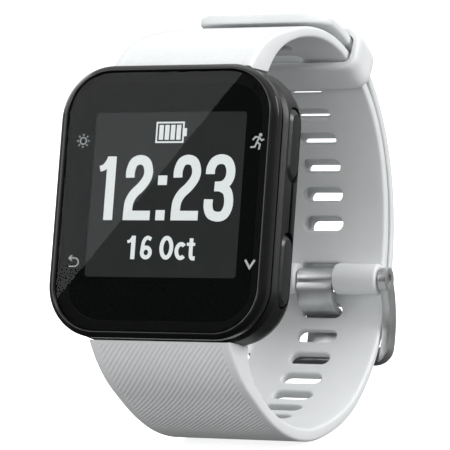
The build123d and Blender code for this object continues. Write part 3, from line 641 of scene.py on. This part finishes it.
def keeper_mesh():
    """Moulded loop: a rounded section carried round a rounded rectangle, with a slight waist."""
    around = KEEPER_RINGS
    section = KEEPER_SIDES
    middle_angle = sum(KEEPER_ANGLES) / 2
    half_angle = (KEEPER_ANGLES[1] - KEEPER_ANGLES[0]) / 2
    vertices = []
    faces = []

    def ring_point(half_x, half_r, corner, turn):
        """Point of a rounded rectangle in the direction of a turn, evenly spread."""
        straight_x = half_x - corner
        straight_r = half_r - corner
        lengths = [2 * straight_x, corner * pi / 2, 2 * straight_r, corner * pi / 2] * 2
        spot = turn / (2 * pi) * sum(lengths)
        corners = [(1, 1), (1, -1), (-1, -1), (-1, 1)]
        starts = [(-straight_x, half_r, 1, 0), (half_x, straight_r, 0, -1),
                  (straight_x, -half_r, -1, 0), (-half_x, -straight_r, 0, 1)]
        for index, length in enumerate(lengths):
            if spot <= length or index == 7:
                break
            spot -= length
        quarter = index // 2
        if index % 2 == 0:
            x, r, dx, dr = starts[quarter]
            return x + dx * spot, r + dr * spot
        sx, sr = corners[quarter]
        begin = (pi / 2, 0, -pi / 2, pi)[quarter]
        bend = begin - spot / corner
        return sx * straight_x + corner * cos(bend), sr * straight_r + corner * sin(bend)

    outer_middle = sum(KEEPER_RADII) / 2
    inner_middle = sum(KEEPER_OPENING) / 2
    outer_half = (KEEPER_RADII[1] - KEEPER_RADII[0]) / 2
    inner_half = (KEEPER_OPENING[1] - KEEPER_OPENING[0]) / 2
    for i in range(around):
        turn = 2 * pi * i / around
        outer_x, outer_r = ring_point(KEEPER_HALF, outer_half, KEEPER_CORNER, turn)
        inner_x, inner_r = ring_point(KEEPER_OPENING_HALF, inner_half, KEEPER_OPENING_CORNER, turn)
        outer_r += outer_middle
        inner_r += inner_middle
        for j in range(section):
            spin = 2 * pi * j / section
            along = abs(cos(spin)) ** KEEPER_SQUARENESS * sign_of(cos(spin))
            depth = 0.5 + 0.5 * abs(sin(spin)) ** KEEPER_SQUARENESS * sign_of(sin(spin))
            waist = KEEPER_WAIST * cos(pi * along) * depth
            x = inner_x + (outer_x - inner_x) * depth
            r = inner_r + (outer_r - inner_r) * depth
            x -= sign_of(x) * max(waist, 0) * min(abs(x) / KEEPER_HALF, 1) ** 4
            angle = radians(middle_angle + half_angle * along)
            vertices.append((x, WRAP_Y + r * cos(angle), WRAP_Z + r * sin(angle)))
    for i in range(around):
        for j in range(section):
            a = i * section + j
            b = i * section + (j + 1) % section
            c = (i + 1) % around * section + (j + 1) % section
            d = (i + 1) % around * section + j
            faces.append((a, b, c, d))
    return vertices, faces


keeper = add_mesh("strap_keeper_skin", *keeper_mesh(), silicone, "keeper", smooth=60)
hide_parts("strap_keeper")


# ---- rounded copies of CAD nodes -------------------------------------------------------
FLAT_ANGLE = radians(1)             # faces that meet flatter than this become one
ROUNDED_ANGLE = radians(28)         # edges sharper than this are rounded
SHADING_ANGLE = radians(35)         # edges sharper than this stay visible in the shading
# Node, the body that carries it, and how far its edges are rounded.
EDGE_ROUNDINGS = [("buckle_frame", "buckle_frame", 0.3), ("buckle_tongue", "buckle_tongue", 0.2),
                  ("bezel_ring", "case", 0.1)]
EDGE_ROUNDINGS += [(key, key, 0.12) for key in ("button_light", "button_back", "button_run",
                                                "button_down")]
EDGE_ROUNDINGS.append(("case_housing", "case", 0.14))


def refined(node_name, body, bevel):
    """Replace a CAD node by a copy with clean faces and small rounded edges."""
    source = frame["nodes"][node_name]
    solid = bmesh.new()
    solid.from_mesh(source.data)
    bmesh.ops.remove_doubles(solid, verts=solid.verts, dist=1e-6)
    bmesh.ops.dissolve_limit(solid, angle_limit=FLAT_ANGLE, verts=solid.verts, edges=solid.edges)
    sharp = [edge for edge in solid.edges
             if len(edge.link_faces) == 2 and edge.calc_face_angle(0) > ROUNDED_ANGLE]
    bmesh.ops.bevel(solid, geom=sharp, offset=bevel * MM, segments=3, profile=0.5, affect="EDGES",
                    clamp_overlap=True)
    mesh = bpy.data.meshes.new(node_name + "_fine")
    solid.to_mesh(mesh)
    solid.free()
    mesh.materials.clear()
    mesh.materials.append(FINISHES[slot_of[node_name]])
    mesh.shade_smooth()
    mesh.set_sharp_from_angle(angle=SHADING_ANGLE)
    piece = bpy.data.objects.new(node_name + "_fine", mesh)
    bpy.context.scene.collection.objects.link(piece)
    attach(piece, body)
    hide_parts(node_name)


for refined_node, carrier, edge_rounding in EDGE_ROUNDINGS:
    refined(refined_node, carrier, edge_rounding)


# ---- display and printed marks ---------------------------------------------------------
MARK_THICKNESS = 0.02
WINDOW_Z = 1.07                     # middle of the display window
LCD_HEIGHT = 10.81                  # heights count from the back cover towards the lens
MASK_HEIGHT = 10.905
CROSSING = 0.004                    # a stroke that crosses another lies this much higher
LCD_OVER = LCD_HEIGHT + CROSSING
TIME_STROKE = 1.42
TIME_STEM = 1.47
TIME_FOOT = 1.4
TIME_FLAG = 0.9
TIME_LOW, TIME_HIGH = -3.8, 5.66
TWO_WIDTH = 4.36
COLON_X = -0.635
BATTERY_Z = 9.2 + WINDOW_Z
BATTERY_HALF_WIDTH, BATTERY_HALF_HEIGHT = 2.16, 1.45
BATTERY_BAR_PITCH = 0.94
SIGN_STROKE = 0.17
SUN_STROKE = 0.16
SUN_X, SUN_Z = -14.1, 8.0 + WINDOW_Z
RUN_X, RUN_Z = 14.15, 7.7 + WINDOW_Z
RUN_STROKE = 0.25
SMALL_RING_STEPS = 14


def smooth_line(points, cuts=6):
    """Catmull-Rom curve through the points."""
    padded = [points[0]] + points + [points[-1]]
    result = []
    for i in range(1, len(padded) - 2):
        p0, p1, p2, p3 = (Vector(p) for p in padded[i - 1:i + 3])
        for k in range(cuts):
            u = k / cuts
            result.append(0.5 * (2 * p1 + (p2 - p0) * u + (2 * p0 - 5 * p1 + 4 * p2 - p3) * u * u
                                 + (3 * p1 - p0 - 3 * p2 + p3) * u**3))
    result.append(Vector(points[-1]))
    return result


def ribbon(points, width, height, closed=False):
    """Thin flat stroke of constant width along points (x, z), printed at a height."""
    points = [Vector(point) for point in points]
    count = len(points)
    rails = []
    for i, point in enumerate(points):
        before = points[i - 1] if i or closed else point
        after = points[(i + 1) % count] if i < count - 1 or closed else point
        one = (point - before).normalized() if point != before else (after - point).normalized()
        two = (after - point).normalized() if point != after else one
        normal = (Vector((-one.y, one.x)) + Vector((-two.y, two.x))).normalized()
        reach = width / 2 / max(normal.dot(Vector((-one.y, one.x))), 0.35)
        rails.append((point + normal * reach, point - normal * reach))
    vertices = []
    for level in (height, height + MARK_THICKNESS):
        for left, right in rails:
            vertices += [(left.x, -level, left.y), (right.x, -level, right.y)]
    back = 2 * count
    faces = []
    for i in range(count if closed else count - 1):
        a, b = 2 * i, 2 * ((i + 1) % count)
        faces += [(a, b, b + 1, a + 1), (a + back, a + 1 + back, b + 1 + back, b + back),
                  (a, a + back, b + back, b), (a + 1, b + 1, b + 1 + back, a + 1 + back)]
    if not closed:
        end = 2 * (count - 1)
        faces += [(0, 1, 1 + back, back), (end, end + back, end + 1 + back, end + 1)]
    return vertices, faces


def ring(x, z, radius_x, radius_z, width, height, start=0, end=360, count=28):
    """Stroke round an ellipse, closed when it makes a full turn."""
    closed = abs(end - start) >= 360
    steps = count if closed else count + 1
    turns = [radians(start + (end - start) * k / count) for k in range(steps)]
    return ribbon([(x + radius_x * cos(turn), z + radius_z * sin(turn)) for turn in turns], width, height,
                  closed)


def on_display(points):
    """Points given from the middle of the display window, as row coordinates."""
    return [(x, z + WINDOW_Z) for x, z in points]


def curve(points, width, height):
    """Stroke along a smooth curve through points of the display window."""
    return ribbon(smooth_line(on_display(points)), width, height)


def stroke(points, width, height):
    """Stroke with straight stretches between points of the display window."""
    return ribbon(on_display(points), width, height)


def two(x):
    """Digit 2 of the time, with its left edge at x."""
    bowl = [(x + 0.72, 2.5), (x + 0.74, 3.6), (x + 1.2, 4.75), (x + 2.18, 5.15), (x + 3.2, 4.75),
            (x + 3.66, 3.5), (x + 3.45, 2.35), (x + 2.6, 1.15), (x + 1.5, 0.1), (x + 0.85, -1.1),
            (x + 0.72, -2.5), (x + 0.72, -3.1)]
    foot = [(x, -3.1), (x + TWO_WIDTH, -3.1)]
    return [curve(bowl, TIME_STROKE, LCD_HEIGHT), stroke(foot, TIME_FOOT, LCD_OVER)]


def three():
    """Digit 3 of the time: two bowls that meet in the middle."""
    top = [(7.0, 3.0), (7.05, 3.9), (7.6, 4.85), (8.6, 5.2), (9.65, 4.85), (10.2, 3.75), (10.12, 2.4),
           (9.4, 1.45), (8.5, 1.2), (7.81, 1.19)]
    low = [(7.81, 1.19), (8.8, 1.12), (9.8, 0.55), (10.2, -0.6), (10.15, -1.9), (9.6, -2.95),
           (8.6, -3.24), (7.5, -2.9), (7.02, -1.9), (7.0, -0.7)]
    return [curve(top, TIME_STROKE, LCD_HEIGHT), curve(low, TIME_STROKE, LCD_OVER)]


def time_marks():
    """Hours and minutes with a colon."""
    one = [stroke([(-9.135, TIME_LOW), (-9.135, TIME_HIGH)], TIME_STEM, LCD_HEIGHT),
           curve([(-11.0, 3.84), (-10.2, 4.15), (-9.45, 5.2)], TIME_FLAG, LCD_OVER)]
    colon = [stroke([(COLON_X, low), (COLON_X, high)], TIME_STEM, LCD_HEIGHT)
             for low, high in ((1.4, 2.81), (TIME_LOW, -2.3))]
    return one + two(-6.66) + two(1.10) + colon + three()


def date_marks():
    """A day number and a short month word."""
    return [
        stroke([(-4.62, -9.55), (-4.62, -6.1)], 0.68, LCD_HEIGHT),
        stroke([(-5.6, -7.0), (-5.1, -6.85), (-4.7, -6.3)], 0.45, LCD_OVER),
        ring(-2.47, -8.55 + WINDOW_Z, 0.66, 0.72, 0.6, LCD_HEIGHT),
        curve([(-1.75, -6.6), (-2.4, -6.38), (-2.95, -7.0), (-3.13, -8.5)], 0.56, LCD_OVER),
        ring(0.79, -7.83 + WINDOW_Z, 0.8, 1.44, 0.62, LCD_HEIGHT),
        ring(3.15, -8.3 + WINDOW_Z, 0.7, 1.02, 0.6, LCD_HEIGHT, 45, 315),
        stroke([(4.06, -7.3), (5.38, -7.3)], 0.46, LCD_OVER),
        curve([(4.76, -6.42), (4.76, -8.7), (4.95, -9.3), (5.45, -9.35)], 0.6, LCD_HEIGHT),
    ]


def battery_marks():
    """Battery sign with four bars."""
    half_w, half_h = BATTERY_HALF_WIDTH, BATTERY_HALF_HEIGHT
    cap_x = half_w + 0.34
    marks = [ribbon([(-half_w, BATTERY_Z - half_h), (half_w, BATTERY_Z - half_h),
                     (half_w, BATTERY_Z + half_h), (-half_w, BATTERY_Z + half_h)], 0.25, LCD_HEIGHT, True),
             ribbon([(cap_x, BATTERY_Z - 0.6), (cap_x, BATTERY_Z + 0.6)], 0.44, LCD_HEIGHT)]
    for bar in range(4):
        bar_x = (bar - 1.5) * BATTERY_BAR_PITCH
        marks.append(ribbon([(bar_x, BATTERY_Z - 1.1), (bar_x, BATTERY_Z + 1.1)], 0.7, LCD_HEIGHT))
    return marks


def light_sign():
    """Sun: a ring and eight rays."""
    marks = [ring(SUN_X, SUN_Z, 0.5, 0.5, SUN_STROKE, MASK_HEIGHT)]
    for ray in range(8):
        turn = ray * pi / 4
        ends = [(SUN_X + r * cos(turn), SUN_Z + r * sin(turn)) for r in (0.75, 1.05)]
        marks.append(ribbon(ends, SUN_STROKE, MASK_HEIGHT))
    return marks


def back_sign():
    """Arrow that turns back on itself."""
    return [ring(-14.0, -10.1 + WINDOW_Z, 0.62, 0.62, SIGN_STROKE, MASK_HEIGHT, -90, 90, SMALL_RING_STEPS),
            stroke([(-14.0, -9.48), (-14.75, -9.48)], SIGN_STROKE, MASK_HEIGHT),
            stroke([(-14.0, -10.72), (-14.9, -10.72)], SIGN_STROKE, MASK_HEIGHT),
            stroke([(-14.45, -9.05), (-14.95, -9.48), (-14.45, -9.91)], SIGN_STROKE,
                   MASK_HEIGHT + CROSSING)]


def run_sign():
    """Running figure: a dot for the head, a trunk and four limbs."""
    marks = [ring(RUN_X + 0.45, RUN_Z + 1.0, 0.13, 0.13, 0.26, MASK_HEIGHT, count=SMALL_RING_STEPS)]
    for limb in ([(0.3, 0.7), (-0.05, -0.05)], [(0.3, 0.65), (-0.35, 0.7), (-0.75, 0.25)],
                 [(0.3, 0.62), (0.65, 0.2), (1.05, 0.35)], [(-0.05, -0.05), (0.45, -0.4), (0.3, -1.15)],
                 [(-0.05, -0.05), (-0.35, -0.75), (-1.05, -0.8)]):
        marks.append(ribbon([(RUN_X + x, RUN_Z + z) for x, z in limb], RUN_STROKE, MASK_HEIGHT))
    return marks


def down_sign():
    """Arrowhead that points down."""
    return [stroke([(13.55, -9.5), (14.3, -10.65), (15.05, -9.5)], 0.34, MASK_HEIGHT)]


key_signs = light_sign() + back_sign() + run_sign() + down_sign()
# Display digits and key signs get the painted-glow materials.
for mark_name, solids, glowing_ink, owner in (("display_time", time_marks(), GLOWING_MARK_WHITE, "lcd_glass"),
                                      ("display_date", date_marks(), GLOWING_MARK_WHITE, "lcd_glass"),
                                      ("display_battery_sign", battery_marks(), GLOWING_MARK_WHITE, "lcd_glass"),
                                      ("lens_key_signs", key_signs, GLOWING_MARK_GREY, "mask_film")):
    mark = add_mesh(mark_name, *joined(*solids), glowing_ink, "case")


# ---- stage -----------------------------------------------------------------------------
FLOOR_TILT = radians(15)            # the floor rises behind the watch
FLOOR_DROP = 36.5                   # distance of the floor below the frame's origin
FLOOR_HALF = 3000
FLOOR_GLOW = 0.72
CARD_GLOW = 2.6
CARD_MARGIN = 120                   # how far the card goes on past both ends of its visible edge
CARD_WIDTH = 260
LENS_Y = -12.2
CARD_EDGE_ON_LENS = ((12.3, 19.4), (-16.2, -15.2))      # x, z where the mirrored edge crosses


def add_sheet(name, corners, material):
    """Flat four-cornered sheet for the stage, corners in millimetres."""
    mesh = bpy.data.meshes.new(name)
    mesh.from_pydata([corner * MM for corner in corners], [], [(0, 1, 2, 3)])
    mesh.materials.append(material)
    sheet = bpy.data.objects.new(name, mesh)
    bpy.context.scene.collection.objects.link(sheet)
    sheet.visible_diffuse = False
    sheet.visible_shadow = False
    return sheet


def pale_floor():
    """Tilted floor that only the camera sees."""
    material = surface("floor_pale", (0.9, 0.9, 0.9), 0.8, relief=0.0, change=0.002)
    shader = material.node_tree.nodes["Principled BSDF"]
    shader.inputs["Emission Color"].default_value = (1, 1, 1, 1)
    shader.inputs["Emission Strength"].default_value = FLOOR_GLOW
    normal = Vector((0, -sin(FLOOR_TILT), cos(FLOOR_TILT)))
    along = Vector((0, cos(FLOOR_TILT), sin(FLOOR_TILT)))
    middle = -normal * FLOOR_DROP
    corners = [middle + Vector((sx * FLOOR_HALF, 0, 0)) + along * sy * FLOOR_HALF
               for sx, sy in ((-1, -1), (1, -1), (1, 1), (-1, 1))]
    floor = add_sheet("floor", corners, material)
    floor.visible_glossy = False


def reflection_card(camera_place):
    """Glowing card that only the lens mirrors; its edge crosses the lens along a diagonal."""
    material = bpy.data.materials.new("reflection_card")
    material.use_nodes = True
    shader = material.node_tree.nodes["Principled BSDF"]
    shader.inputs["Base Color"].default_value = (0, 0, 0, 1)
    shader.inputs["Emission Color"].default_value = (1, 1, 1, 1)
    shader.inputs["Emission Strength"].default_value = CARD_GLOW
    mirrored = Vector((camera_place.x, 2 * LENS_Y - camera_place.y, camera_place.z))
    ends = [Vector((x, LENS_Y, z)) for x, z in CARD_EDGE_ON_LENS]
    ends = [spot + (spot - mirrored) for spot in ends]
    edge = (ends[0] - ends[1]).normalized()
    side = Vector((-edge.z, 0, edge.x))
    corners = [ends[0] + edge * CARD_MARGIN, ends[1] - edge * CARD_MARGIN]
    corners += [corners[1] + side * CARD_WIDTH, corners[0] + side * CARD_WIDTH]
    card = add_sheet("card", corners, material)
    card.visible_camera = False


# ---- camera ----------------------------------------------------------------------------
AZIMUTH, ELEVATION, ROLL = radians(25.34), radians(-8.12), radians(4.11)
CAMERA_TARGET = Vector((0.743, 8.56, -0.32))
CAMERA_DISTANCE = 484.65
CAMERA_LENS = 257.26
CAMERA_SENSOR = 36


def add_camera():
    """Camera that circles the target by azimuth, elevation and roll; gives its place."""
    back = Vector((sin(AZIMUTH) * cos(ELEVATION), -cos(AZIMUTH) * cos(ELEVATION), sin(ELEVATION)))
    level = Vector((cos(AZIMUTH), sin(AZIMUTH), 0))
    upward = back.cross(level)
    right = cos(ROLL) * level + sin(ROLL) * upward
    up = cos(ROLL) * upward - sin(ROLL) * level
    camera = bpy.data.objects.new("camera", bpy.data.cameras.new("camera"))
    bpy.context.scene.collection.objects.link(camera)
    camera.matrix_world = Matrix(((right.x, up.x, back.x, 0), (right.y, up.y, back.y, 0),
                                  (right.z, up.z, back.z, 0), (0, 0, 0, 1)))
    place = CAMERA_TARGET + back * CAMERA_DISTANCE
    camera.location = place * MM
    camera.data.sensor_width = CAMERA_SENSOR
    camera.data.lens = CAMERA_LENS
    camera.data.clip_start = 0.01
    camera.data.clip_end = 10
    bpy.context.scene.camera = camera
    return place


# ---- lights ----------------------------------------------------------------------------
SOFT_LIGHTS = [                     # name, place, target, size, power, seen in reflections
    ("top_light", (-20, 120, 520), (0, 15, 0), 420, 0.5, True),
    ("front_light", (80, -560, -60), (0, 0, -10), 300, 1.9, False),
    ("right_light", (430, 30, 240), (0, 20, -10), 220, 1.5, True),
    ("left_light", (-430, 60, 240), (0, 20, -10), 220, 0.7, True),
]
SKY_STOPS = [(0.0, 0.03), (0.42, 0.12), (0.62, 0.24), (0.8, 0.7), (1.0, 1.0)]   # height, tone
AMBIENT_LOW, AMBIENT_HIGH = 0.08, 0.84


def soft_light(name, place, target, size, power, reflected):
    data = bpy.data.lights.new(name, "AREA")
    data.shape = "SQUARE"
    data.size = size * MM
    data.energy = power
    light = bpy.data.objects.new(name, data)
    light.location = Vector(place) * MM
    light.rotation_euler = (Vector(target) - Vector(place)).to_track_quat("-Z", "Y").to_euler()
    light.visible_glossy = reflected
    bpy.context.scene.collection.objects.link(light)


def studio_world():
    """White to the camera, a stepped sky in reflections and a soft gradient as fill light."""
    world = bpy.data.worlds.new("studio")
    bpy.context.scene.world = world
    world.use_nodes = True
    nodes = world.node_tree.nodes
    link = world.node_tree.links.new
    direction = nodes.new("ShaderNodeTexCoord")
    split = nodes.new("ShaderNodeSeparateXYZ")
    lift = nodes.new("ShaderNodeMapRange")
    ramp = nodes.new("ShaderNodeValToRGB")
    ambient = nodes.new("ShaderNodeMapRange")
    path = nodes.new("ShaderNodeLightPath")
    soften = nodes.new("ShaderNodeMix")
    choose = nodes.new("ShaderNodeMix")
    soften.data_type = "RGBA"
    choose.data_type = "RGBA"

    link(direction.outputs["Generated"], split.inputs["Vector"])
    lift.inputs["From Min"].default_value = -1
    link(split.outputs["Z"], lift.inputs["Value"])
    link(lift.outputs["Result"], ramp.inputs["Fac"])
    first, last = ramp.color_ramp.elements
    for element, (position, tone) in ((first, SKY_STOPS[0]), (last, SKY_STOPS[-1])):
        element.position = position
        element.color = (tone, tone, tone, 1)
    for position, tone in SKY_STOPS[1:-1]:
        ramp.color_ramp.elements.new(position).color = (tone, tone, tone, 1)

    link(lift.outputs["Result"], ambient.inputs["Value"])
    ambient.inputs["To Min"].default_value = AMBIENT_LOW
    ambient.inputs["To Max"].default_value = AMBIENT_HIGH
    link(path.outputs["Is Diffuse Ray"], soften.inputs["Factor"])
    link(ramp.outputs["Color"], soften.inputs["A"])
    link(ambient.outputs["Result"], soften.inputs["B"])
    link(path.outputs["Is Camera Ray"], choose.inputs["Factor"])
    link(soften.outputs["Result"], choose.inputs["A"])
    choose.inputs["B"].default_value = (1, 1, 1, 1)
    link(choose.outputs["Result"], nodes["Background"].inputs["Color"])


pale_floor()
reflection_card(add_camera())
for light_settings in SOFT_LIGHTS:
    soft_light(*light_settings)
studio_world()
bpy.context.scene.view_settings.view_transform = "Standard"
